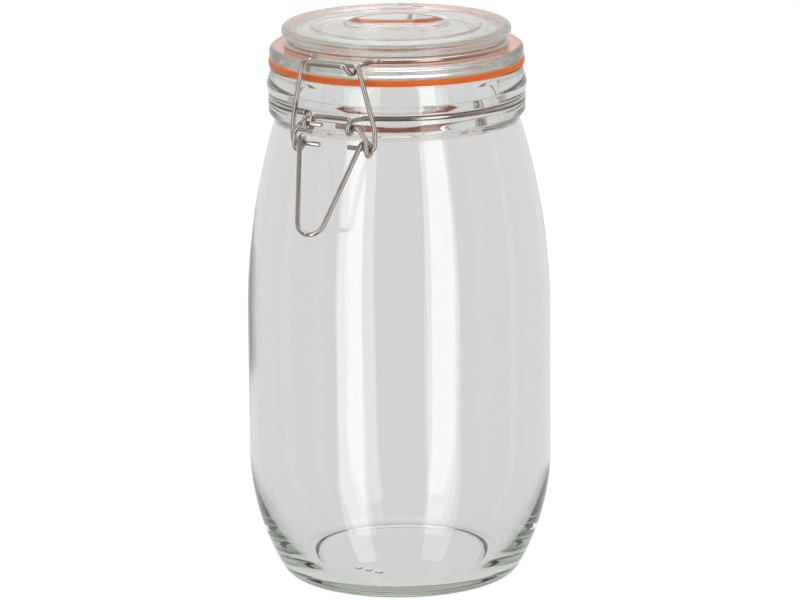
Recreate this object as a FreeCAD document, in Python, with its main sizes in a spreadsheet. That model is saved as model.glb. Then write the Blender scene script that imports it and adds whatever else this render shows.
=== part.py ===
"""Clip-top preserving jar: a blown glass barrel, a pressed glass lid with its rubber seal,
and four bent wires: the neck wire, the lid wire, the bail and the lever."""
import FreeCAD, Part
import math
import os
import re
import Sketcher
from FreeCAD import Vector

doc = FreeCAD.newDocument("preserving_jar")

# Driving dimensions in millimetres. Levels are heights above the table, reaches are distances
# from the jar's upright axis: the clasp is on the -Y side and the lid's hinge on the +Y side.
SIZES = {
    # glass barrel, outside
    "belly_radius": 58.4,
    "belly_low": 50.0,
    "belly_high": 103.0,
    "foot_radius": 38.8,
    "foot_width": 3.6,
    "heel_radius": 8.6,
    "punt_rise": 2.2,
    "punt_bevel": 2.2,
    "nub_radius": 1.1,
    "nub_height": 0.5,
    "nub_spacing": 4.5,
    "nub_reach": 26.5,
    # neck: how far its features rise above the neck's foot and stand out from it
    "neck_radius": 46.8,
    "neck_level": 180.4,
    "lower_bead_stand": 2.5,
    "lower_bead_rise": 3.9,
    "neck_wire_stand": 1.5,
    "neck_wire_rise": 8.6,
    "groove_fit": 0.2,
    "upper_bead_stand": 3.0,
    "upper_bead_rise": 13.6,
    "rim_stand": 1.5,
    "rim_rise": 20.6,
    "rim_round": 1.2,
    # glass barrel, inside
    "wall": 3.6,
    "floor_level": 6.4,
    "floor_inset": 2.0,
    "floor_round": 5.5,
    "mouth_wall": 6.8,
    "bore_rise": 5.6,
    # seal
    "seat_gap": 0.3,
    "seal_overhang": 0.7,
    "seal_height": 2.4,
    "seal_round": 0.3,
    # lid
    "plug_gap": 1.3,
    "plug_fit": 0.2,
    "plug_drop": 3.4,
    "plug_round": 1.5,
    "dome_inset": 10.2,
    "dome_rise": 2.6,
    "flange_inset": 0.3,
    "flange_height": 4.9,
    "flange_round": 1.8,
    "waist_depth": 7.5,
    "waist_height": 3.4,
    "disc_inset": 4.7,
    "disc_height": 4.4,
    "disc_round": 1.9,
    "step_inset": 8.0,
    "step_width": 3.0,
    "step_depth": 0.6,
    "dish_radius": 20.6,
    "dish_depth": 3.4,
    "dish_slope": 4.1,
    # all four wires
    "wire_diameter": 1.9,
    "wire_fit": 0.25,
    "tight_bend": 1.6,
    "loop_room": 0.65,
    "loop_flat": 0.1,
    # neck wire
    "eye_stand": 5.3,
    "front_eye_offset": 9.05,
    "hinge_eye_offset": 13.0,
    "eye_root": 4.0,
    "eye_run": 1.5,
    "eye_bend": 3.0,
    "loose_end": 3.6,
    # lid wire
    "lid_wire_gap": 0.1,
    "hinge_stub": 2.8,
    "hinge_bend": 3.4,
    "ear_offset": 9.4,
    "ear_flare": 3.7,
    "ear_run": 1.2,
    "ear_bend": 3.0,
    "ear_slant": 1.5,
    "ear_room": 1.9,
    "ear_rise": 2.0,
    "ear_slack": 1.5,
    # bail
    "bar_stand": 3.4,
    "bar_lift": 0.3,
    "bar_overhang": 2.5,
    "bar_bend": 2.2,
    "bail_knee_rise": 7.5,
    "bail_knee_bend": 12.0,
    "bail_stub": 8.35,
    # lever
    "coil_stand": 2.6,
    "coil_drop": 11.0,
    "coil_outset": 5.3,
    "lever_stub": 6.05,
    "lever_knee_lean": 0.6,
    "lever_knee_bend": 3.0,
    "lever_run": 20.9,
    "lever_drop": 30.0,
    "lever_tip_half_width": 4.6,
    "lever_tip_bend": 5.8,
}

# What fits or lines up with something else: each is worked out from the sizes above.
FITTED = {
    "punt_radius": "foot_radius - foot_width",
    "floor_radius": "foot_radius - floor_inset",
    "shoulder_lean": "belly_radius - neck_radius",
    "shoulder_rise": "neck_level - belly_high",
    "shoulder_arc": "(shoulder_lean^2 + shoulder_rise^2) / (2 * shoulder_lean)",
    "coil_shoulder": "belly_radius - shoulder_arc + sqrt(shoulder_arc^2 - (coil_level - belly_high)^2)",
    "lower_bead_radius": "neck_radius + lower_bead_stand",
    "lower_bead_level": "neck_level + lower_bead_rise",
    "neck_wire_radius": "neck_radius + neck_wire_stand",
    "neck_wire_level": "neck_level + neck_wire_rise",
    "upper_bead_radius": "neck_radius + upper_bead_stand",
    "upper_bead_level": "neck_level + upper_bead_rise",
    "rim_radius": "neck_radius + rim_stand",
    "rim_level": "neck_level + rim_rise",
    "bore_radius": "rim_radius - mouth_wall",
    "bore_low": "neck_level + bore_rise",
    "seal_low": "rim_level + seat_gap",
    "seal_radius": "rim_radius + seal_overhang",
    "land": "seal_low + seal_height",
    "plug_radius": "bore_radius - plug_gap",
    "dome_radius": "plug_radius - dome_inset",
    "flange_radius": "seal_radius - flange_inset",
    "flange_top": "land + flange_height",
    "waist_radius": "flange_radius - waist_depth",
    "disc_low": "flange_top + waist_height",
    "disc_top": "disc_low + disc_height",
    "disc_radius": "flange_radius - disc_inset",
    "step_radius": "disc_radius - step_inset",
    "ring_radius": "step_radius - step_width",
    "dish_floor_radius": "dish_radius - dish_slope",
    "loop_radius": "wire_diameter + loop_room",
    "loop_pitch": "wire_diameter + wire_fit",
    "beside_loop": "loop_pitch / 2 + wire_diameter + wire_fit",
    "eye_reach": "neck_wire_radius + eye_stand",
    "eye_level": "neck_wire_level - loop_radius",
    "lid_wire_radius": "waist_radius + lid_wire_gap + wire_diameter / 2",
    "lid_wire_level": "flange_top + lid_wire_gap + wire_diameter / 2",
    "bar_reach": "seal_radius + bar_stand",
    "bar_level": "lid_wire_level + bar_lift",
    "coil_level": "neck_wire_level - coil_drop",
    "coil_reach": "coil_shoulder + coil_stand",
    "coil_offset": "front_eye_offset + coil_outset",
}

sheet = doc.addObject("Spreadsheet::Sheet", "Sizes")
for row, (alias, value) in enumerate(SIZES.items(), start=1):
    sheet.set(f"A{row}", alias)
    sheet.set(f"B{row}", str(value))
    sheet.setAlias(f"B{row}", alias)
doc.recompute()


def in_sizes(expression, sheet_name=""):
    """The expression with its fitted names written out in sizes, each led by the sheet's name."""

    def spelled(match):
        word = match.group()
        if word in FITTED:
            return f"({in_sizes(FITTED[word], sheet_name)})"
        return sheet_name + word if word in SIZES else word

    return re.sub("[a-z_]+", spelled, expression)


def number(expression):
    """The value of an expression in sizes and fitted names, as the document works it out."""
    value = sheet.evalExpression(in_sizes(expression))
    return float(getattr(value, "Value", value))


def named(expression):
    """The same expression as a constraint or property is bound to it."""
    return in_sizes(expression, "Sizes.")


def origin_plane(body, role):
    """One of the body's own base planes."""
    return next(f for f in body.Origin.OriginFeatures if f.Role == role)


def add_section(body, name, corners):
    """A closed half section in the XZ plane, turned about the Z axis to make a round solid.

    Each corner is (radius, level, edge): radius and level are expressions, or plain numbers where
    tangency settles the place, and edge says how the outline goes on to the next corner: "line",
    or ("arc", middle point, radius expression or None). A corner marked "smooth" in a fourth
    place keeps its two edges tangent.
    """
    sketch = body.newObject("Sketcher::SketchObject", name)
    sketch.AttachmentSupport = (origin_plane(body, "XZ_Plane"), "")
    sketch.MapMode = "FlatFace"
    values = [[number(c[k]) if isinstance(c[k], str) else c[k] for k in (0, 1)] for c in corners]
    points = [Vector(x, y, 0) for x, y in values]
    count = len(corners)
    ends = []
    for i, corner in enumerate(corners):
        start, stop = points[i], points[(i + 1) % count]
        if corner[2] == "line":
            geometry = sketch.addGeometry(Part.LineSegment(start, stop))
            ends.append((geometry, 1, 2))
        else:
            arc = Part.Arc(start, Vector(corner[2][1][0], corner[2][1][1], 0), stop)
            geometry = sketch.addGeometry(arc)
            turned = sketch.getPoint(geometry, 1).distanceToPoint(start) > 1e-6
            ends.append((geometry, 2, 1) if turned else (geometry, 1, 2))
    for i, corner in enumerate(corners):
        before, after = ends[i - 1], ends[i]
        kind = "Tangent" if "smooth" in corner[3:] else "Coincident"
        sketch.addConstraint(Sketcher.Constraint(kind, before[0], before[2], after[0], after[1]))
    for i, corner in enumerate(corners):
        geometry, start, _ = ends[i]
        for axis, kind in ((0, "DistanceX"), (1, "DistanceY")):
            if not isinstance(corner[axis], str):
                continue
            if abs(values[i][axis]) < 1e-9:
                line = -2 if axis == 0 else -1
                sketch.addConstraint(Sketcher.Constraint("PointOnObject", geometry, start, line))
                continue
            where = Sketcher.Constraint(kind, -1, 1, geometry, start, values[i][axis])
            index = sketch.addConstraint(where)
            sketch.setExpression(f"Constraints[{index}]", named(corner[axis]))
        if corner[2] != "line" and corner[2][2]:
            radius = Sketcher.Constraint("Radius", geometry, number(corner[2][2]))
            index = sketch.addConstraint(radius)
            sketch.setExpression(f"Constraints[{index}]", named(corner[2][2]))
    turn = body.newObject("PartDesign::Revolution", name + "_turned")
    turn.Profile = sketch
    turn.ReferenceAxis = (sketch, ["V_Axis"])
    turn.Angle = 360
    sketch.Visibility = False
    doc.recompute()
    return turn


def rounded(corner, before, after, radius):
    """The two ends and the middle of the arc that rounds a corner of an outline, as numbers."""
    tip = Vector(*corner, 0)
    to_before = (Vector(*before, 0) - tip).normalize()
    to_after = (Vector(*after, 0) - tip).normalize()
    half = to_before.getAngle(to_after) / 2
    middle_way = (to_before + to_after).normalize()
    reach = radius / math.tan(half)
    start, stop = tip + to_before * reach, tip + to_after * reach
    centre = tip + middle_way * (radius / math.sin(half))
    middle = centre - middle_way * radius
    return (start.x, start.y), (middle.x, middle.y), (stop.x, stop.y)


def barrel_arcs(radius, foot, level, corner):
    """Where a corner arc meets the long arc that rises from it to the upright belly.

    The corner arc stands on a foot radius at a level and has its own radius; the long arc is
    upright where it meets the belly. Returns the meeting point and a middle point on each arc.
    """
    across = radius - foot
    up = number("belly_low") - level - corner
    long_radius = (across**2 + up**2 - corner**2) / (2 * (across - corner))
    centre = Vector(radius - long_radius, level + corner + up, 0)
    corner_centre = Vector(foot, level + corner, 0)
    way = (corner_centre - centre).normalize()
    meet = corner_centre + way * corner
    low_way = (way + Vector(0, -1, 0)).normalize()
    high_way = (way + Vector(1, 0, 0)).normalize()
    low, high = corner_centre + low_way * corner, centre + high_way * long_radius
    return (meet.x, meet.y), (low.x, low.y), (high.x, high.y)


def shoulder_middle(radius):
    """A middle point on the arc that leans in from the upright belly to the neck."""
    arc = number("shoulder_arc")
    half = math.asin(number("shoulder_rise") / arc) / 2
    return radius - arc + arc * math.cos(half), number("belly_high") + arc * math.sin(half)


# ---- Glass jar: barrel body, thick base with a punt, and a neck with two beads and a wire groove
jar = doc.addObject("PartDesign::Body", "glass_jar")
jar.Label = "glass_jar"
meet, heel_middle, belly_middle = barrel_arcs(
    number("belly_radius"), number("foot_radius"), 0, number("heel_radius")
)
inner_belly = "belly_radius - wall"
inner_neck = "neck_radius - wall"
inner_meet, corner_middle, inner_middle = barrel_arcs(
    number(inner_belly), number("floor_radius"), number("floor_level"), number("floor_round")
)
groove_half = "(wire_diameter / 2 + groove_fit)"
groove_bottom = (number(f"neck_wire_radius - {groove_half}"), number("neck_wire_level"))
add_section(
    jar,
    "jar_section",
    [
        ("0", "punt_rise", "line"),
        ("punt_radius - punt_bevel", "punt_rise", "line"),
        ("punt_radius", "0", "line"),
        ("foot_radius", "0", ("arc", heel_middle, "heel_radius"), "smooth"),
        (meet[0], meet[1], ("arc", belly_middle, None), "smooth"),
        ("belly_radius", "belly_low", "line", "smooth"),
        (
            "belly_radius",
            "belly_high",
            ("arc", shoulder_middle(number("belly_radius")), None),
            "smooth",
        ),
        ("neck_radius", "neck_level", "line"),
        ("lower_bead_radius", "lower_bead_level", "line"),
        ("lower_bead_radius", f"neck_wire_level - {groove_half}", "line"),
        (
            "neck_wire_radius",
            f"neck_wire_level - {groove_half}",
            ("arc", groove_bottom, None),
            "smooth",
        ),
        ("neck_wire_radius", f"neck_wire_level + {groove_half}", "line"),
        ("lower_bead_radius", f"neck_wire_level + {groove_half}", "line"),
        ("upper_bead_radius", "upper_bead_level", "line"),
        ("rim_radius", "rim_level - rim_round", "line"),
        ("rim_radius - rim_round", "rim_level", "line"),
        ("bore_radius + rim_round", "rim_level", "line"),
        ("bore_radius", "rim_level - rim_round", "line"),
        ("bore_radius", "bore_low", "line"),
        (
            inner_neck,
            "neck_level",
            ("arc", shoulder_middle(number(inner_belly)), None),
        ),
        (inner_belly, "belly_high", "line", "smooth"),
        (inner_belly, "belly_low", ("arc", inner_middle, None), "smooth"),
        (inner_meet[0], inner_meet[1], ("arc", corner_middle, "floor_round"), "smooth"),
        ("floor_radius", "floor_level", "line", "smooth"),
        ("0", "floor_level", "line"),
    ],
)

# Three plain nubs in a row under the base, below the clasp, where the mould vents.
nubs = jar.newObject("Sketcher::SketchObject", "nub_circles")
nubs.AttachmentSupport = (origin_plane(jar, "XY_Plane"), "")
nubs.MapMode = "FlatFace"
nubs.setExpression("AttachmentOffset.Base.z", named("punt_rise - nub_height"))
nubs.setExpression("AttachmentOffset.Base.y", named("0 - nub_reach"))
for place in (-1, 0, 1):
    middle = Vector(place * number("nub_spacing"), 0, 0)
    ring = nubs.addGeometry(Part.Circle(middle, Vector(0, 0, 1), number("nub_radius")))
    index = nubs.addConstraint(Sketcher.Constraint("Radius", ring, number("nub_radius")))
    nubs.setExpression(f"Constraints[{index}]", named("nub_radius"))
    nubs.addConstraint(Sketcher.Constraint("PointOnObject", ring, 3, -1))
    if place == 0:
        nubs.addConstraint(Sketcher.Constraint("PointOnObject", ring, 3, -2))
        continue
    ends = (-1, 1, ring, 3) if place > 0 else (ring, 3, -1, 1)
    index = nubs.addConstraint(Sketcher.Constraint("DistanceX", *ends, number("nub_spacing")))
    nubs.setExpression(f"Constraints[{index}]", named("nub_spacing"))
nub_pad = jar.newObject("PartDesign::Pad", "nubs")
nub_pad.Profile = nubs
nub_pad.setExpression("Length", named("2 * nub_height"))

# ---- Rubber seal: a flat ring that stays on the lid, round its plug, just clear of the rim
seal = doc.addObject("PartDesign::Body", "rubber_seal")
seal.Label = "rubber_seal"
add_section(
    seal,
    "seal_section",
    [
        ("plug_radius + plug_fit", "seal_low", "line"),
        ("seal_radius - seal_round", "seal_low", "line"),
        ("seal_radius", "seal_low + seal_round", "line"),
        ("seal_radius", "land - seal_round", "line"),
        ("seal_radius - seal_round", "land", "line"),
        ("plug_radius + plug_fit", "land", "line"),
    ],
)

# ---- Glass lid: a plug inside the seal, a flange on it, a waist for the wire and an upper disc
lid = doc.addObject("PartDesign::Body", "glass_lid")
lid.Label = "glass_lid"
flange_out, flange_mid, flange_in = rounded(
    (number("flange_radius"), number("flange_top")),
    (number("flange_radius"), number("land")),
    (0, number("flange_top")),
    number("flange_round"),
)
low_out, low_mid, low_in = rounded(
    (number("disc_radius"), number("disc_low")),
    (0, number("disc_low")),
    (number("disc_radius"), number("disc_top")),
    number("disc_round"),
)
top_out, top_mid, top_in = rounded(
    (number("disc_radius"), number("disc_top")),
    (number("disc_radius"), number("disc_low")),
    (0, number("disc_top")),
    number("disc_round"),
)
add_section(
    lid,
    "lid_section",
    [
        ("0", "land - plug_drop + dome_rise", "line"),
        ("dome_radius - dome_rise", "land - plug_drop + dome_rise", "line"),
        ("dome_radius", "land - plug_drop", "line"),
        ("plug_radius - plug_round", "land - plug_drop", "line"),
        ("plug_radius", "land - plug_drop + plug_round", "line"),
        ("plug_radius", "land", "line"),
        ("flange_radius", "land", "line"),
        ("flange_radius", "flange_top - flange_round", ("arc", flange_mid, "flange_round")),
        ("flange_radius - flange_round", "flange_top", "line"),
        ("waist_radius", "flange_top", "line"),
        ("waist_radius", "disc_low", "line"),
        ("disc_radius - disc_round", "disc_low", ("arc", low_mid, "disc_round")),
        ("disc_radius", "disc_low + disc_round", "line"),
        ("disc_radius", "disc_top - disc_round", ("arc", top_mid, "disc_round")),
        ("disc_radius - disc_round", "disc_top", "line"),
        ("step_radius + step_depth", "disc_top", "line"),
        ("step_radius", "disc_top - step_depth", "line"),
        ("ring_radius", "disc_top - step_depth", "line"),
        ("ring_radius - step_depth", "disc_top", "line"),
        ("dish_radius", "disc_top", "line"),
        ("dish_floor_radius", "disc_top - dish_depth", "line"),
        ("0", "disc_top - dish_depth", "line"),
    ],
)
doc.recompute()


# ---- Bent wires: each is a round section carried along straight runs joined by tangent arcs
RING_ARCS = 8  # equal arcs in each half of a ring


def wire_path(corners):
    """A wire of straight runs and tangent arcs through (point, bend radius) corners."""
    edges = []
    last = corners[0][0]
    for (point, radius), (onward, _) in zip(corners[1:], corners[2:]):
        way_in = (point - last).normalize()
        way_out = (onward - point).normalize()
        turn = way_in.getAngle(way_out)
        reach = radius * math.tan(turn / 2)
        start, stop = point - way_in * reach, point + way_out * reach
        inward = (way_out - way_in).normalize()
        centre = point + inward * (radius / math.cos(turn / 2))
        middle = centre - inward * radius
        if last.distanceToPoint(start) > 1e-4:
            edges.append(Part.LineSegment(last, start).toShape())
        edges.append(Part.Arc(start, middle, stop).toShape())
        last = stop
    edges.append(Part.LineSegment(last, corners[-1][0]).toShape())
    return Part.Wire(edges)


def add_wire(label, corners):
    """A bent wire: its route is a plain shape, and the round section swept along it is bound."""
    route = doc.addObject("Part::Feature", label + "_route")
    route.Shape = wire_path(corners)
    section = doc.addObject("Part::Circle", label + "_section")
    section.setExpression("Radius", named("wire_diameter / 2"))
    start = corners[0][0]
    along = (corners[1][0] - start).normalize()
    section.Placement = FreeCAD.Placement(start, FreeCAD.Rotation(Vector(0, 0, 1), along))
    bent = doc.addObject("Part::Sweep", label)
    bent.Label = label
    bent.Sections = [section]
    bent.Spine = (route, [f"Edge{i + 1}" for i in range(len(route.Shape.Edges))])
    bent.Solid = True
    bent.Frenet = False
    bent.Transition = "Transformed"
    route.Visibility = False
    section.Visibility = False
    return bent


def mirrored(corners):
    """The corners of a half wire followed by their mirror images across the plane X = 0."""
    other = [(Vector(-p.x, p.y, p.z), r) for p, r in reversed(corners)]
    return corners + other


def ring_corners(radius, level, start, stop):
    """Corners whose tangent arcs make part of a level ring, from one angle to another."""
    step = (stop - start) / RING_ARCS
    outer = radius / math.cos(step / 2)
    angles = [start + step * (k + 0.5) for k in range(RING_ARCS)]
    return [(Vector(outer * math.sin(a), -outer * math.cos(a), level), radius) for a in angles]


def loop_corners(offset, reach, level, order, inward):
    """One turn round an axis along X, as four corners of the square about a circle.

    The order lists the square's corners as (forward, up) signs; forward is away from the jar.
    """
    half = number("loop_radius")
    bend = half - number("loop_flat")
    pitch = number("loop_pitch") * inward
    out = []
    for k, (forward, up) in enumerate(order):
        x = offset - pitch * (k / (len(order) - 1) - 0.5)
        out.append((Vector(x, -(reach + half * forward), level + half * up), bend))
    return out


def off_ring(radius, level, angle, run, bend):
    """The corner where a wire leaves a ring: some way along the ring's tangent at an angle."""
    on_ring = Vector(radius * math.sin(angle), -radius * math.cos(angle), level)
    tangent = Vector(math.cos(angle), math.sin(angle), 0)
    return on_ring + tangent * run, bend


tight = number("tight_bend")
eye_reach, eye_level = number("eye_reach"), number("eye_level")

# ---- Neck wire: a ring in the neck's groove, curled into two lever eyes and two hinge eyes
ring_radius = number("neck_wire_radius")
ring_level = number("neck_wire_level")
front_root = math.asin(number("front_eye_offset + eye_root") / ring_radius)
back_root = math.pi - math.asin(number("hinge_eye_offset + eye_root") / ring_radius)
hinge_loop = loop_corners(
    number("hinge_eye_offset"), eye_reach, eye_level, [(-1, -1), (1, -1), (1, 1), (-1, 1)], -1
)
hinge_loop = [(Vector(p.x, -p.y, p.z), r) for p, r in hinge_loop]
hinge_loop[-1] = (hinge_loop[-1][0], tight)
lever_loop = loop_corners(
    number("front_eye_offset"),
    eye_reach,
    eye_level,
    [(-1, 1), (1, 1), (1, -1), (-1, -1), (-1, 1)],
    1,
)
lever_loop[0] = (lever_loop[0][0], tight)
lever_loop[-1] = (lever_loop[-1][0], tight)
loose_end = hinge_loop[0][0] + Vector(0, 0, number("loose_end"))
eye_run, eye_bend = number("eye_run"), number("eye_bend")
neck_half = (
    [(loose_end, 0)]
    + hinge_loop
    + [off_ring(ring_radius, ring_level, back_root, eye_run, eye_bend)]
    + ring_corners(ring_radius, ring_level, back_root, front_root)
    + [off_ring(ring_radius, ring_level, front_root, -eye_run, eye_bend)]
    + lever_loop
)
neck_wire = add_wire("neck_wire", mirrored(neck_half))

# ---- Lid wire: a ring in the lid's waist, with two legs down to the hinge and two front ears
lid_ring_radius, lid_ring_level = number("lid_wire_radius"), number("lid_wire_level")
leg_offset = number("hinge_eye_offset + beside_loop")
hinge_bend = number("hinge_bend")
leg_root = math.pi - math.asin((leg_offset + hinge_bend) / lid_ring_radius)
leg_run = hinge_bend / math.cos(math.pi - leg_root)
ear_root = math.asin(number("ear_offset + ear_flare") / lid_ring_radius)
ear_side = number("ear_offset + ear_slant")
ear_back = number("bar_reach - wire_diameter - ear_rise")
ear_dip = number("bar_level - wire_diameter - ear_room")
ear_front = number("bar_reach + wire_diameter + ear_slack")
bar_reach, bar_level = number("bar_reach"), number("bar_level")
lid_half = (
    [
        (Vector(number("hinge_eye_offset - hinge_stub"), eye_reach, eye_level), 0),
        (Vector(leg_offset, eye_reach, eye_level), tight),
        (Vector(leg_offset, eye_reach, lid_ring_level), hinge_bend),
        off_ring(lid_ring_radius, lid_ring_level, leg_root, -leg_run, hinge_bend),
    ]
    + ring_corners(lid_ring_radius, lid_ring_level, leg_root, ear_root)
    + [
        off_ring(lid_ring_radius, lid_ring_level, ear_root, -number("ear_run"), number("ear_bend")),
        (Vector(ear_side, -ear_back, lid_ring_level), tight),
        (Vector(number("ear_offset"), -bar_reach, ear_dip), tight),
        (Vector(number("ear_offset - ear_slant"), -ear_front, bar_level), tight),
    ]
)
lid_wire = add_wire("lid_wire", mirrored(lid_half))

# ---- Bail: its bar lies over the lid wire's ears and its stubs turn in the lever's coils
leg_side = number("coil_offset + beside_loop")
coil_reach, coil_level = number("coil_reach"), number("coil_level")
bail_knee = Vector(leg_side, -coil_reach, coil_level + number("bail_knee_rise"))
bail_half = [
    (Vector(number("coil_offset - bail_stub"), -coil_reach, coil_level), 0),
    (Vector(leg_side, -coil_reach, coil_level), tight),
    (bail_knee, number("bail_knee_bend")),
    (Vector(number("ear_offset + bar_overhang"), -bar_reach, bar_level), number("bar_bend")),
]
bail_wire = add_wire("bail_wire", mirrored(bail_half))

# ---- Lever: stubs that turn in the neck wire's eyes, a coil on each side, and a long V handle
arm_offset = number("front_eye_offset + beside_loop")
lever_coil = loop_corners(
    number("coil_offset"), coil_reach, coil_level, [(1, -1), (-1, -1), (-1, 1), (1, 1)], 1
)
lever_knee = Vector(
    lever_coil[0][0].x,
    lever_coil[0][0].y - number("lever_knee_lean"),
    number("coil_level + loop_radius + wire_diameter"),
)
lever_tip = Vector(
    number("lever_tip_half_width"),
    -number("coil_reach + lever_run"),
    number("coil_level - lever_drop"),
)
lever_half = (
    [
        (Vector(number("front_eye_offset - lever_stub"), -eye_reach, eye_level), 0),
        (Vector(arm_offset, -eye_reach, eye_level), tight),
        (lever_knee, number("lever_knee_bend")),
    ]
    + lever_coil
    + [(lever_tip, number("lever_tip_bend"))]
)
lever_wire = add_wire("lever_wire", mirrored(lever_half))

# ---- Check every object and write one file for each piece
doc.recompute()
for item in doc.Objects:
    if {"Invalid", "Error"} & set(item.State):
        raise RuntimeError(f"{item.Name} is {item.State}")
os.makedirs("parts", exist_ok=True)
for piece in (jar, seal, lid, neck_wire, lid_wire, bail_wire, lever_wire):
    shape = piece.Shape
    if shape.isNull() or not shape.isValid() or len(shape.Solids) != 1:
        raise RuntimeError(f"{piece.Label} has no sound solid")
    print(f"{piece.Label}: {shape.Volume / 1000:.2f} cm3, box {shape.BoundBox}")
    shape.exportStep(f"parts/{piece.Label}.step")
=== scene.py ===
"""Clip-top preserving jar: its glass, rubber and wires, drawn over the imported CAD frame."""

import math

import bpy
import numpy as np
from mathutils import Matrix, Vector


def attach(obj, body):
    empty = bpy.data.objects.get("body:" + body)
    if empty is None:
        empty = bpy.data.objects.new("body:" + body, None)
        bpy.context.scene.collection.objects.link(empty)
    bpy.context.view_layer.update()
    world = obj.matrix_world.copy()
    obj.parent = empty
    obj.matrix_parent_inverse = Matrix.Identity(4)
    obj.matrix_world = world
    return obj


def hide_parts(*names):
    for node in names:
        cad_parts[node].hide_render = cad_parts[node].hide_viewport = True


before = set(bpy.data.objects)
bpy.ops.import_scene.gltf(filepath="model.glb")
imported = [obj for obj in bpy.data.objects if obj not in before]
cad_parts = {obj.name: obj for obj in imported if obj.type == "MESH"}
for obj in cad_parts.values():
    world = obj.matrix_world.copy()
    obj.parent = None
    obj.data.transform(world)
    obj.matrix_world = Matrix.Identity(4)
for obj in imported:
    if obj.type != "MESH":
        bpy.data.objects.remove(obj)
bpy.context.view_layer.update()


# ---- Glass jar -----------------------------------------------------------------------------
# Soda-lime glass, blown into a mould, so the outside is true and the inside wall wanders a
# little in thickness. The base is thick and hollowed underneath, and the mouth is fire polished.
MM = 0.001
TURNS = np.linspace(0, 2 * math.pi, 224, endpoint=False)  # even steps round the axis


def arc_run(centre, radius, start, stop, count):
    """Points on a circle about (radius, level): angles in degrees, 0 outwards and 90 up."""
    angle = np.radians(np.linspace(start, stop, count))
    return np.column_stack([centre[0] + radius * np.cos(angle), centre[1] + radius * np.sin(angle)])


def rounded_run(corners, steps=7):
    """A half outline through (radius, level, rounding) corners.

    Each corner is cut back along both its edges by its rounding over the tangent of half the
    angle between them, and an arc that is tangent to both joins the two cuts.
    """
    corners = np.asarray(corners, float)
    run = [corners[:1, :2]]
    for before, here, after in zip(corners, corners[1:], corners[2:]):
        back, on = before[:2] - here[:2], after[:2] - here[:2]
        back, on = back / np.linalg.norm(back), on / np.linalg.norm(on)
        half = math.acos(np.clip(back @ on, -1, 1)) / 2
        if here[2] <= 0 or half > 1.56:
            run.append(here[None, :2])
            continue
        middle = (back + on) / np.linalg.norm(back + on)
        centre = here[:2] + middle * here[2] / math.sin(half)
        first = here[:2] + back * here[2] / math.tan(half) - centre
        last = here[:2] + on * here[2] / math.tan(half) - centre
        share = np.linspace(0, 1, steps)[:, None]
        arc = first * (1 - share) + last * share
        run.append(centre + arc / np.linalg.norm(arc, axis=1)[:, None] * here[2])
    run.append(corners[-1:, :2])
    return np.vstack(run)


def evened(outline, spacing):
    """The outline with points added along its long runs, at most the spacing apart."""
    gaps = np.linalg.norm(np.diff(outline, axis=0), axis=1)
    keep = np.concatenate([[True], gaps > 1e-6])
    outline = outline[keep]
    gaps = np.linalg.norm(np.diff(outline, axis=0), axis=1)
    along = np.concatenate([[0], np.cumsum(gaps)])
    parts = np.maximum(1, np.ceil(gaps / spacing)).astype(int)
    places = np.concatenate([a + g * np.arange(n) / n for a, g, n in zip(along, gaps, parts)])
    places = np.append(places, along[-1])
    return np.column_stack([np.interp(places, along, outline[:, k]) for k in (0, 1)])


def piece(name, points, faces):
    """A smooth mesh object at the origin, from points in millimetres and rows of point numbers."""
    mesh = bpy.data.meshes.new(name)
    mesh.from_pydata((points * MM).tolist(), [], faces)
    mesh.polygons.foreach_set("use_smooth", np.ones(len(mesh.polygons), bool))
    mesh.update()
    made = bpy.data.objects.new(name, mesh)
    bpy.context.scene.collection.objects.link(made)
    return made


def turned(name, outline, moved=None, closed=False, steps=TURNS):
    """A round piece: an outline of (radius, level) points carried round the Z axis in steps.

    A point lies at (radius sin a, -radius cos a, level) for each step's angle a, and moved may
    change the radius and level there. An open outline starts and ends on the axis, where one
    point closes each end; a closed one joins its last point to its first.
    """
    angle = steps[None, :]
    ring = outline if closed else outline[1:-1]
    radius, level = ring[:, :1] + 0 * angle, ring[:, 1:] + 0 * angle
    if moved:
        radius, level = moved(radius, angle, level)
    grid = np.stack([radius * np.sin(angle), -radius * np.cos(angle), level], axis=-1)
    index = np.arange(radius.size).reshape(radius.shape)
    low = index if closed else index[:-1]
    high = np.roll(index, -1, axis=0) if closed else index[1:]
    quads = np.stack([low, np.roll(low, -1, 1), np.roll(high, -1, 1), high], axis=-1)
    faces, points = quads.reshape(-1, 4).tolist(), grid.reshape(-1, 3)
    if not closed:
        first, last = len(points), len(points) + 1
        points = np.vstack([points, [[0, 0, outline[0, 1]], [0, 0, outline[-1, 1]]]])
        start, stop = index[0], index[-1]
        faces += np.column_stack([start * 0 + first, np.roll(start, -1), start]).tolist()
        faces += np.column_stack([stop * 0 + last, stop, np.roll(stop, -1)]).tolist()
    return piece(name, points, faces)


# Sizes are in millimetres. Arcs meet at tangents, and the belly is straight between its levels.
BELLY_RADIUS, BELLY_LOW, BELLY_HIGH, WALL = 58.4, 50, 103, 3.6
SHOULDER_BEND, FLANK_BEND, INNER_FLANK_BEND = 264.022, 92.007, 69.814
FOOT_RADIUS, HEEL_BEND, HEEL_TURN = 38.8, 8.6, -29.76
PUNT_RADIUS, PUNT_RISE = 33, 2.2
FLOOR_RADIUS, FLOOR_LEVEL, FLOOR_BEND, FLOOR_TURN = 36.8, 6.4, 5.5, -36.33
NUB_REACH, NUB_SPACING, NUB_RADIUS, NUB_HEIGHT = 26.5, 4.5, 1.1, 0.5
MOUTH_RADIUS, RIM_LEVEL = 41.5, 201
INNER_SWING, OUTER_SWING = 0.16, 0.03
RING_SPACING = 2.2
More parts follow.
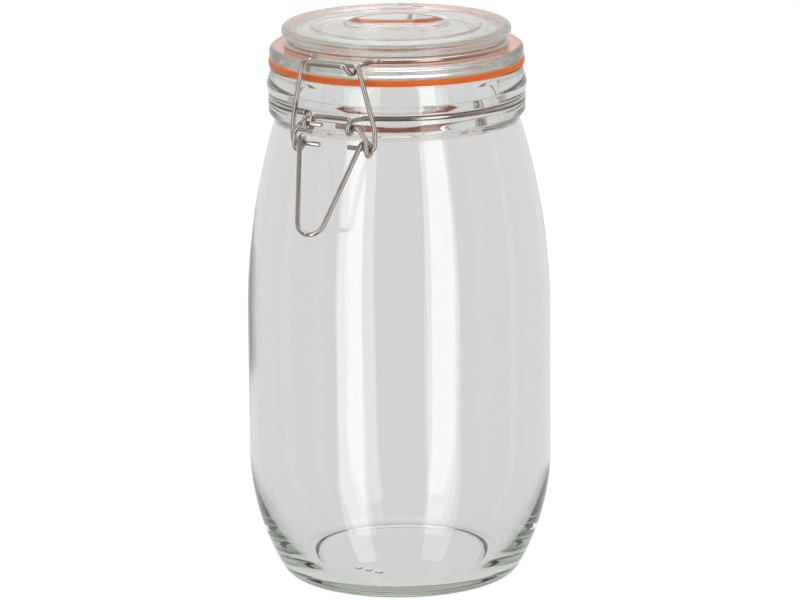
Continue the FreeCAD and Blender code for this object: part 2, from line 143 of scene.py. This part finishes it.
# The rings and the steps round the axis are closer where the nubs are.
nub_rings = np.arange(24.6, 28.9, 0.3)
nub_turns = TURNS[np.cos(TURNS) > math.cos(0.24)] + TURNS[1] / 2
inside_belly = BELLY_RADIUS - WALL
jar_outline = np.vstack(
    [
        [[0, PUNT_RISE]],
        np.column_stack([nub_rings, nub_rings * 0 + PUNT_RISE]),
        rounded_run(
            [
                (29, PUNT_RISE, 0),
                (PUNT_RADIUS, PUNT_RISE, 2),
                (35.4, 0, 1),
                (37, 0, 0),
                (FOOT_RADIUS, 0, 0),
            ]
        ),
        arc_run((FOOT_RADIUS, HEEL_BEND), HEEL_BEND, -90, HEEL_TURN, 16)[1:],
        arc_run((BELLY_RADIUS - FLANK_BEND, BELLY_LOW), FLANK_BEND, HEEL_TURN, 0, 36)[1:],
        arc_run((BELLY_RADIUS - SHOULDER_BEND, BELLY_HIGH), SHOULDER_BEND, 0, 17.047, 50)[:-1],
        rounded_run(
            [
                (47.2, 179.1, 0),
                (46.9, 180.3, 1.2),
                (49.2, 183.2, 2.2),
                (49.3, 187.9, 0.8),
                (47.4, 188.1, 0.4),
                (47.4, 189.9, 0.4),
                (49.3, 190.1, 1.0),
                (49.8, 194.2, 2.2),
                (48.6, 198.6, 1.0),
                (48.3, RIM_LEVEL, 1.5),
                (MOUTH_RADIUS, RIM_LEVEL, 1.6),
                (MOUTH_RADIUS, 186, 4),
                (43.0, 180.9, 3),
                (43.4, 179.5, 0),
            ]
        ),
        arc_run((inside_belly - SHOULDER_BEND, BELLY_HIGH), SHOULDER_BEND, 16.5, 0, 50)[1:],
        arc_run((inside_belly - INNER_FLANK_BEND, BELLY_LOW), INNER_FLANK_BEND, 0, FLOOR_TURN, 36),
        arc_run((FLOOR_RADIUS, FLOOR_LEVEL + FLOOR_BEND), FLOOR_BEND, FLOOR_TURN, -90, 16)[1:],
        [[0, FLOOR_LEVEL]],
    ]
)


def blown(radius, angle, level):
    """Where hot glass lies in the mould.

    Each face moves along its radius by its swing times the sum of three sines of the angle and
    the level, with 2, 3 and 7 waves to a turn, which fades out towards the base and the mouth.
    Three round nubs stand down from the hollow under the base: each drops the level by its
    height times e to minus the fourth power of the distance from its middle over its radius.
    """
    wall = np.clip((level - 14) / 40, 0, 1) * np.clip((176 - level) / 30, 0, 1)
    row = np.arange(len(radius))[:, None]
    inside = row > len(radius) * 0.5
    wave = np.sin(2 * angle + level / 41) + 0.6 * np.sin(3 * angle - level / 23 + 1)
    wave = wave + 0.35 * np.sin(7 * angle + level / 31 + 2)
    swung = radius + np.where(inside, INNER_SWING * wave, OUTER_SWING * wave) * wall
    bottom = (row < len(radius) * 0.25) & (level < PUNT_RISE + 0.8)
    across, along = radius * np.sin(angle), radius * np.cos(angle)
    for place in (-1, 0, 1):
        off = np.hypot(across - place * NUB_SPACING, along - NUB_REACH)
        level = level - np.where(bottom, NUB_HEIGHT * np.exp(-((off / NUB_RADIUS) ** 4)), 0)
    return swung, level


jar_turns = np.sort(np.concatenate([TURNS, nub_turns]))
jar = turned("jar_glass_body", evened(jar_outline, RING_SPACING), blown, steps=jar_turns)


def linear(hex_colour):
    """A shader colour from an sRGB hex value: each channel is taken to linear light."""
    channels = [int(hex_colour[i : i + 2], 16) / 255 for i in (1, 3, 5)]
    lit = [c / 12.92 if c <= 0.04045 else ((c + 0.055) / 1.055) ** 2.4 for c in channels]
    return (*lit, 1.0)


def add_node(tree, kind, inputs=None, **settings):
    """A new node: settings are its own properties; inputs are values or other nodes' outputs."""
    made = tree.nodes.new(kind)
    for name, value in settings.items():
        setattr(made, name, value)
    for name, value in (inputs or {}).items():
        if isinstance(value, bpy.types.NodeSocket):
            tree.links.new(value, made.inputs[name])
        else:
            made.inputs[name].default_value = value
    return made


def new_material(name):
    """An empty node material and its tree."""
    made = bpy.data.materials.new(name)
    made.use_nodes = True
    made.node_tree.nodes.clear()
    return made, made.node_tree


SODA_LIME_IOR = 1.52
RIPPLE_DEPTH, HANDLING_SPACING = 0.03, 35  # millimetres


def clear_glass(name, body_hex, body_depth, ripple, roughness):
    """Soda-lime glass: colourless face on, green where the eye looks along it.

    The iron in it tints light to the body colour over the body depth, in millimetres. Ripples of
    a given size stand for the skin that a mould and a flame leave, and handling leaves patches
    where the roughness rises from its first value to its second. The lamps shine through it.
    """
    material, tree = new_material(name)
    clear = linear("#FEFEFE")
    place = add_node(tree, "ShaderNodeTexCoord").outputs["Object"]
    waves = add_node(
        tree,
        "ShaderNodeTexNoise",
        {"Vector": place, "Scale": 1 / (ripple * MM), "Detail": 1.5, "Roughness": 0.4},
    )
    skin = add_node(
        tree,
        "ShaderNodeBump",
        {"Height": waves.outputs["Fac"], "Strength": 1.0, "Distance": RIPPLE_DEPTH * MM},
    )
    handling = add_node(
        tree,
        "ShaderNodeTexNoise",
        {"Vector": place, "Scale": 1 / (HANDLING_SPACING * MM), "Detail": 3.0},
    )
    haze = add_node(
        tree,
        "ShaderNodeMapRange",
        {
            "Value": handling.outputs["Fac"],
            "From Min": 0.45,
            "From Max": 0.8,
            "To Min": roughness[0],
            "To Max": roughness[1],
        },
    )
    glass = add_node(
        tree,
        "ShaderNodeBsdfPrincipled",
        {
            "Base Color": clear,
            "Roughness": haze.outputs["Result"],
            "IOR": SODA_LIME_IOR,
            "Transmission Weight": 1.0,
            "Normal": skin.outputs["Normal"],
        },
    )
    open_way = add_node(tree, "ShaderNodeBsdfTransparent", {"Color": clear})
    lamps = add_node(tree, "ShaderNodeLightPath").outputs["Is Shadow Ray"]
    mixed = add_node(tree, "ShaderNodeMixShader", {"Fac": lamps})
    tree.links.new(glass.outputs[0], mixed.inputs[1])
    tree.links.new(open_way.outputs[0], mixed.inputs[2])
    iron = add_node(
        tree,
        "ShaderNodeVolumeAbsorption",
        {"Color": linear(body_hex), "Density": 1 / (body_depth * MM)},
    )
    out = add_node(tree, "ShaderNodeOutputMaterial", {"Surface": mixed.outputs[0]})
    tree.links.new(iron.outputs[0], out.inputs["Volume"])
    return material


# Fire polished: nearly a mirror, with long ripples that bend the lights' edges.
blown_glass = clear_glass(
    "blown_soda_lime_glass", body_hex="#B4C2AE", body_depth=75, ripple=26, roughness=(0, 0.03)
)
jar.data.materials.append(blown_glass)
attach(jar, "jar")
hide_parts("glass_jar")


# ---- Neck wire -----------------------------------------------------------------------------
# Round steel wire, drawn to 1.9 mm, polished and bent cold on pins. It lies in the neck's groove
# and is curled into two eyes for the lever at the front and two for the lid wire at the back.
WIRE_RADIUS = 0.95
WIRE_SIDES = np.linspace(0, 2 * math.pi, 24, endpoint=False)
EDGE_INSET, EDGE_RADIUS = np.array([0, 0.08, 0.25]), np.array([0.70, 0.88, WIRE_RADIUS])
WEAR_SPACING, GRAIN_SPACING, GRAIN_DEPTH = 7, 0.4, 0.006  # millimetres

# Bright drawn steel: a warm grey mirror, dulled in patches by handling, over a faint grain. The
# real grain is a few hundredths of a millimetre, too fine to show, so it is drawn at 0.4 mm.
steel, steel_tree = new_material("drawn_steel_wire")
steel_place = add_node(steel_tree, "ShaderNodeTexCoord").outputs["Object"]
grain = add_node(
    steel_tree,
    "ShaderNodeTexNoise",
    {"Vector": steel_place, "Scale": 1 / (GRAIN_SPACING * MM), "Detail": 2.0, "Roughness": 0.5},
)
wear = add_node(
    steel_tree,
    "ShaderNodeTexNoise",
    {"Vector": steel_place, "Scale": 1 / (WEAR_SPACING * MM), "Detail": 2.0},
)
shine = add_node(
    steel_tree,
    "ShaderNodeMapRange",
    {
        "Value": wear.outputs["Fac"],
        "From Min": 0.3,
        "From Max": 0.7,
        "To Min": 0.12,
        "To Max": 0.24,
    },
)
steel_tone = add_node(
    steel_tree,
    "ShaderNodeMix",
    {"Factor": wear.outputs["Fac"], "A": linear("#B3A9A1"), "B": linear("#C9C1BA")},
    data_type="RGBA",
)
draw_lines = add_node(
    steel_tree,
    "ShaderNodeBump",
    {"Height": grain.outputs["Fac"], "Strength": 0.3, "Distance": GRAIN_DEPTH * MM},
)
steel_shader = add_node(
    steel_tree,
    "ShaderNodeBsdfPrincipled",
    {
        "Base Color": steel_tone.outputs["Result"],
        "Metallic": 1.0,
        "Roughness": shine.outputs["Result"],
        "Normal": draw_lines.outputs["Normal"],
    },
)
add_node(steel_tree, "ShaderNodeOutputMaterial", {"Surface": steel_shader.outputs[0]})


def unit(vector):
    """The direction of a vector."""
    return vector / np.linalg.norm(vector)


def bent_run(half):
    """The centre line of a bent wire, in millimetres.

    half holds (x, y, z, bend radius) corners from a cut end to the middle; their mirror images
    across the plane x = 0 follow. An arc that is tangent to both runs rounds each corner. It
    starts back from the corner by the bend radius times the tangent of half the turn.
    """
    half = np.asarray(half, float)
    corners = np.vstack([half, half[::-1] * [-1, 1, 1, 1]])
    run = [corners[0, :3]]
    for before, here, after in zip(corners, corners[1:], corners[2:]):
        corner, bend = here[:3], here[3]
        way_in, way_out = unit(corner - before[:3]), unit(after[:3] - corner)
        turn = math.acos(np.clip(way_in @ way_out, -1, 1))
        centre = corner + unit(way_out - way_in) * bend / math.cos(turn / 2)
        spoke = corner - way_in * bend * math.tan(turn / 2) - centre
        steps = max(5, math.ceil(turn / 0.1), math.ceil(bend * turn / 1.2))
        for angle in np.linspace(0, turn, steps + 1):
            run.append(centre + spoke * math.cos(angle) + way_in * bend * math.sin(angle))
    run.append(corners[-1, :3])
    run = np.array(run)
    gaps = np.linalg.norm(np.diff(run, axis=0), axis=1)
    return run[np.concatenate([[True], gaps > 1e-3])]


def bent_wire(name, half, body, node):
    """A steel wire along its centre line, each cut end softened by three shrinking rings.

    A ring's points lie at the middle plus the radius times (side cos a + other sin a). Side is
    carried on from the ring before, less its part along the line, so that the surface doesn't
    twist; other is square to both. The first side is square to a direction that no wire takes.
    """
    run = bent_run(half)
    first, last = unit(run[1] - run[0]), unit(run[-2] - run[-1])
    run = np.vstack(
        [run[0] + EDGE_INSET[:, None] * first, run[1:-1], run[-1] + EDGE_INSET[::-1, None] * last]
    )
    radius = np.full(len(run), WIRE_RADIUS)
    radius[:3], radius[-3:] = EDGE_RADIUS, EDGE_RADIUS[::-1]
    ways = np.array([unit(way) for way in np.diff(run, axis=0)])
    ways = np.vstack([ways[:1], [unit(a + b) for a, b in zip(ways, ways[1:])], ways[-1:]])
    side, rings = np.cross(ways[0], (0.3, 0.5, 0.8)), []
    for middle, way, reach in zip(run, ways, radius):
        side = unit(side - way * (side @ way))
        other = np.cross(way, side)
        spokes = np.outer(np.cos(WIRE_SIDES), side) + np.outer(np.sin(WIRE_SIDES), other)
        rings.append(middle + reach * spokes)
    index = np.arange(len(run) * len(WIRE_SIDES)).reshape(len(run), -1)
    low, high = index[:-1], index[1:]
    quads = np.stack([low, np.roll(low, -1, 1), np.roll(high, -1, 1), high], axis=-1)
    ends = [index[0, ::-1].tolist(), index[-1].tolist()]
    made = piece(name, np.vstack(rings), quads.reshape(-1, 4).tolist() + ends)
    made.data.materials.append(steel)
    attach(made, body)
    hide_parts(node)


def ring_corners(reach, level, bend, start, stop):
    """Eight corners in even steps round the axis, at angles in degrees from the hinge's side."""
    turns = np.radians(np.linspace(start, stop, 8))
    return [(reach * math.sin(turn), reach * math.cos(turn), level, bend) for turn in turns]


bent_wire(
    "neck_ring_wire",
    [
        (11.925, 51.05, 187.5, 0),
        (11.925, 51.05, 183.9, 2.45),
        (12.642, 56.15, 183.9, 2.45),
        (13.358, 56.15, 189, 2.45),
        (14.075, 51.05, 189, 1.6),
        (15.596, 45.737, 189, 3),
        *ring_corners(48.9, 189, 48.3, 29.59, 155.342),
        (11.606, -46.909, 189, 3),
        (10.125, -51.05, 189, 1.6),
        (9.588, -56.15, 189, 2.45),
        (9.05, -56.15, 183.9, 2.45),
        (8.513, -51.05, 183.9, 2.45),
        (7.975, -51.05, 189, 1.6),
    ],
    "jar",
    "neck_wire",
)


# ---- Lever ---------------------------------------------------------------------------------
# The same wire: two stubs that turn in the neck wire's front eyes, a coil on each side that the
# bail turns in, and a long handle, bent to a round tip that a fingertip hooks under.
bent_wire(
    "lever_handle_wire",
    [
        (3, -53.6, 186.45, 0),
        (12.275, -53.6, 186.45, 1.6),
        (15.425, -53.273, 182.45, 3),
        (15.425, -52.673, 175.45, 2.45),
        (14.708, -47.573, 175.45, 2.45),
        (13.992, -47.573, 180.55, 2.45),
        (13.275, -52.673, 180.55, 2.45),
        (4.6, -71.023, 148, 5.8),
    ],
    "lever",
    "lever_wire",
)


# ---- Bail ----------------------------------------------------------------------------------
# The same wire: its feet turn in the lever's coils, its legs lean in towards each other, and its
# bar pulls down on the lid wire's ears when the lever is shut.
bent_wire(
    "bail_hoop_wire",
    [
        (6, -50.123, 178, 0),
        (17.575, -50.123, 178, 1.6),
        (17.575, -50.123, 185.5, 12),
        (11.9, -52.4, 209.95, 2.2),
    ],
    "bail",
    "bail_wire",
)


# ---- Rubber seal ---------------------------------------------------------------------------
# A flat ring of orange natural rubber, moulded and trimmed, with softened edges. It is stretched
# round the lid's plug and lies against the flange.
seal_outline = rounded_run(
    [
        (44, 203.7, 0),
        (40.4, 203.7, 0.3),
        (40.4, 201.3, 0.3),
        (48.98, 201.3, 0.45),
        (49.0, 203.7, 0.45),
        (44, 203.7, 0),
    ]
)[:-1]
seal = turned("orange_seal", evened(seal_outline, 1.2), closed=True)
BLOOM_SPACING, RUBBER_GRAIN, RUBBER_GRAIN_DEPTH = 9, 0.35, 0.05  # millimetres

# Natural rubber: a dense orange, paler where it blooms, slightly lit through, with a matt skin.
rubber, rubber_tree = new_material("orange_natural_rubber")
rubber_place = add_node(rubber_tree, "ShaderNodeTexCoord").outputs["Object"]
bloom = add_node(
    rubber_tree,
    "ShaderNodeTexNoise",
    {"Vector": rubber_place, "Scale": 1 / (BLOOM_SPACING * MM), "Detail": 3.0},
)
rubber_tone = add_node(
    rubber_tree,
    "ShaderNodeMix",
    {"Factor": bloom.outputs["Fac"], "A": linear("#DC6412"), "B": linear("#E8731F")},
    data_type="RGBA",
)
rubber_grain = add_node(
    rubber_tree,
    "ShaderNodeTexNoise",
    {"Vector": rubber_place, "Scale": 1 / (RUBBER_GRAIN * MM), "Detail": 2.0},
)
rubber_bump = add_node(
    rubber_tree,
    "ShaderNodeBump",
    {
        "Height": rubber_grain.outputs["Fac"],
        "Strength": 0.4,
        "Distance": RUBBER_GRAIN_DEPTH * MM,
    },
)
rubber_shader = add_node(
    rubber_tree,
    "ShaderNodeBsdfPrincipled",
    {
        "Base Color": rubber_tone.outputs["Result"],
        "Roughness": 0.5,
        "Subsurface Weight": 0.5,
        "Subsurface Radius": (1.0, 0.35, 0.15),
        "Subsurface Scale": 4 * MM,
        "Normal": rubber_bump.outputs["Normal"],
    },
)
add_node(rubber_tree, "ShaderNodeOutputMaterial", {"Surface": rubber_shader.outputs[0]})
seal.data.materials.append(rubber)
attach(seal, "lid")
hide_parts("rubber_seal")


# ---- Glass lid -----------------------------------------------------------------------------
# Soda-lime glass pressed between a mould and a plunger, thicker and softer edged than the jar:
# a plug inside the seal, a wide flange on it, a waist that holds the wire, and a dished top.
LID_DOME, LID_DISH, LID_TOP = 202.9, 213.0, 216.4
lid_outline = np.vstack(
    [
        [[0, LID_DOME]],
        rounded_run(
            [
                (1, LID_DOME, 0),
                (27.4, LID_DOME, 3),
                (30, 200.3, 2),
                (38.7, 200.3, 1.6),
                (40.2, 202, 1.2),
                (40.2, 203.72, 0.3),
                (48.7, 203.72, 0.7),
                (48.7, 208.6, 1.8),
                (41.2, 208.6, 0.9),
                (41.2, 212.0, 0.9),
                (44.0, 212.0, 1.9),
                (44.0, LID_TOP, 1.9),
                (36.6, LID_TOP, 1.2),
                (36.0, 215.8, 0.6),
                (33.0, 215.8, 0.6),
                (32.4, LID_TOP, 1.0),
                (20.6, LID_TOP, 1.6),
                (16.5, LID_DISH, 2.0),
                (1, LID_DISH, 0),
            ]
        ),
        [[0, LID_DISH]],
    ]
)
lid = turned("lid_glass_body", evened(lid_outline, 0.9))
# Pressed, not polished: shorter ripples and a slight haze, and thicker than it is tinted.
pressed_glass = clear_glass(
    "pressed_soda_lime_glass", body_hex="#C0C8BC", body_depth=110, ripple=12, roughness=(0.07, 0.16)
)
lid.data.materials.append(pressed_glass)
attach(lid, "lid")
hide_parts("glass_lid")


# ---- Lid wire ------------------------------------------------------------------------------
# The same drawn steel wire, sprung round the lid's waist, with two ears bent up at the front for
# the bail's bar and two legs at the back that turn in the neck wire's loops.
bent_wire(
    "lid_ring_wire",
    [
        (10.2, 53.6, 186.45, 0),
        (16.225, 53.6, 186.45, 1.6),
        (16.225, 53.6, 209.65, 3.4),
        (23.025, 35.632, 209.65, 3.4),
        *ring_corners(42.707, 209.65, 42.25, 36.068, 153.546),
        (11.959, -40.54, 209.65, 3),
        (10.9, -48.5, 209.65, 1.6),
        (9.4, -52.4, 206.15, 1.6),
        (7.9, -55.8, 209.95, 1.6),
    ],
    "lid",
    "lid_wire",
)


# ---- Studio --------------------------------------------------------------------------------
# A pale floor under soft, even light, with a tall soft box on each side of the camera and one
# above. Floor and air are white to the camera. Through the glass only the air shows, light grey,
# and what the glass and wires mirror is darker on the camera's side.
STUDIO_FLOOR_LEVEL, STUDIO_FLOOR_REACH = -0.3, 9000  # millimetres
PAPER_TONE, PAPER_GLOW = 0.62, 0.5
AIR_SEEN, AIR_THROUGH_GLASS, AIR_ELSEWHERE = 1.0, 0.725, 0.6
AIR_MIRRORED_DARKEST, AIR_MIRRORED_LIGHTEST = 0.22, 0.85
VIEW_AZIMUTH, VIEW_ELEVATION, VIEW_DISTANCE, VIEW_HEIGHT = 28.5, 13.2, 2.4, 0.110

corner_signs = np.array([[-1, -1], [1, -1], [1, 1], [-1, 1]])
floor_points = np.column_stack(
    [corner_signs * STUDIO_FLOOR_REACH, np.full(4, STUDIO_FLOOR_LEVEL)]
)
floor = piece("studio_floor", floor_points, [[0, 1, 2, 3]])
paper, paper_tree = new_material("pale_studio_paper")
paper_way = add_node(paper_tree, "ShaderNodeLightPath")
paper_level = add_node(
    paper_tree,
    "ShaderNodeMath",
    {0: paper_way.outputs["Is Camera Ray"], 1: PAPER_GLOW},
    operation="MULTIPLY",
)
paper_tone = add_node(
    paper_tree, "ShaderNodeBsdfDiffuse", {"Color": (PAPER_TONE, PAPER_TONE, PAPER_TONE, 1)}
)
paper_glow = add_node(
    paper_tree,
    "ShaderNodeEmission",
    {"Color": (1, 1, 1, 1), "Strength": paper_level.outputs[0]},
)
paper_both = add_node(paper_tree, "ShaderNodeAddShader")
paper_tree.links.new(paper_tone.outputs[0], paper_both.inputs[0])
paper_tree.links.new(paper_glow.outputs[0], paper_both.inputs[1])
add_node(paper_tree, "ShaderNodeOutputMaterial", {"Surface": paper_both.outputs[0]})
floor.data.materials.append(paper)
floor.visible_glossy = floor.visible_transmission = False

world = bpy.data.worlds.new("studio_air")
bpy.context.scene.world = world
world.use_nodes = True
world.node_tree.nodes.clear()
air_way = add_node(world.node_tree, "ShaderNodeLightPath")
air_place = add_node(world.node_tree, "ShaderNodeTexCoord").outputs["Generated"]
view_turn = math.radians(VIEW_AZIMUTH)
air_behind = add_node(
    world.node_tree,
    "ShaderNodeVectorMath",
    {0: air_place, 1: (-math.sin(view_turn), math.cos(view_turn), 0.35)},
    operation="DOT_PRODUCT",
)
air_mirrored = add_node(
    world.node_tree,
    "ShaderNodeMapRange",
    {
        "Value": air_behind.outputs["Value"],
        "From Min": -0.7,
        "From Max": 0.8,
        "To Min": AIR_MIRRORED_DARKEST,
        "To Max": AIR_MIRRORED_LIGHTEST,
    },
)
# A ray that has passed through glass counts as glossy too, so the level through glass comes last.
air_level = AIR_ELSEWHERE
for ray, level in (
    ("Is Camera Ray", AIR_SEEN),
    ("Is Glossy Ray", air_mirrored.outputs["Result"]),
    ("Is Transmission Ray", AIR_THROUGH_GLASS),
):
    air_step = add_node(
        world.node_tree,
        "ShaderNodeMix",
        {"Factor": air_way.outputs[ray], "A": air_level, "B": level},
        data_type="FLOAT",
    )
    air_level = air_step.outputs["Result"]
air = add_node(
    world.node_tree, "ShaderNodeBackground", {"Color": (1, 1, 1, 1), "Strength": air_level}
)
add_node(world.node_tree, "ShaderNodeOutputWorld", {"Surface": air.outputs[0]})


def soft_box(name, azimuth, height, distance, width, tall, watts, aim):
    """A soft box that faces a level on the jar's axis, in metres and degrees.

    It stands at (distance sin a, -distance cos a, height) for an azimuth of a, which is 0 on the
    clasp's side. The camera doesn't see it.
    """
    lamp = bpy.data.lights.new(name, "AREA")
    lamp.shape, lamp.size, lamp.size_y, lamp.energy = "RECTANGLE", width, tall, watts
    box = bpy.data.objects.new(name, lamp)
    bpy.context.scene.collection.objects.link(box)
    turn = math.radians(azimuth)
    place = Vector((math.sin(turn) * distance, -math.cos(turn) * distance, height))
    box.location = place
    box.rotation_euler = (place - Vector((0, 0, aim))).to_track_quat("Z", "Y").to_euler()
    box.visible_camera = False


soft_box(
    "left_soft_box",
    azimuth=VIEW_AZIMUTH - 37.5,
    height=-0.3,
    distance=1.1,
    width=0.40,
    tall=2.4,
    watts=6.8,
    aim=-0.3,
)
soft_box(
    "right_soft_box",
    azimuth=VIEW_AZIMUTH + 33,
    height=-0.2,
    distance=1.1,
    width=0.49,
    tall=2.6,
    watts=7,
    aim=-0.2,
)
soft_box(
    "top_soft_box",
    azimuth=VIEW_AZIMUTH + 160,
    height=1.6,
    distance=0.5,
    width=1.2,
    tall=1.2,
    watts=9,
    aim=VIEW_HEIGHT,
)

camera_data = bpy.data.cameras.new("camera")
camera = bpy.data.objects.new("camera", camera_data)
bpy.context.scene.collection.objects.link(camera)
bpy.context.scene.camera = camera
camera_data.lens, camera_data.sensor_width = 280.0, 36.0
camera_data.shift_x, camera_data.shift_y = 0.00125, -0.0069
camera_data.clip_start, camera_data.clip_end = 0.1, 60.0
lift = math.radians(VIEW_ELEVATION)
back = Vector(
    (math.sin(view_turn) * math.cos(lift), -math.cos(view_turn) * math.cos(lift), math.sin(lift))
)
camera.location = Vector((0, 0, VIEW_HEIGHT)) + back * VIEW_DISTANCE
level_view = (-back).to_track_quat("-Z", "Y").to_matrix().to_4x4()
CAMERA_ROLL = -0.59  # degrees
roll = Matrix.Rotation(math.radians(CAMERA_ROLL), 4, "Z")
camera.rotation_euler = (level_view @ roll).to_euler()

# Light passes many times between the two faces of thick glass before it leaves.
light_paths = bpy.context.scene.cycles
light_paths.max_bounces, light_paths.glossy_bounces = 32, 16
light_paths.transmission_bounces, light_paths.transparent_max_bounces = 32, 24
bpy.context.scene.view_settings.view_transform = "Standard"
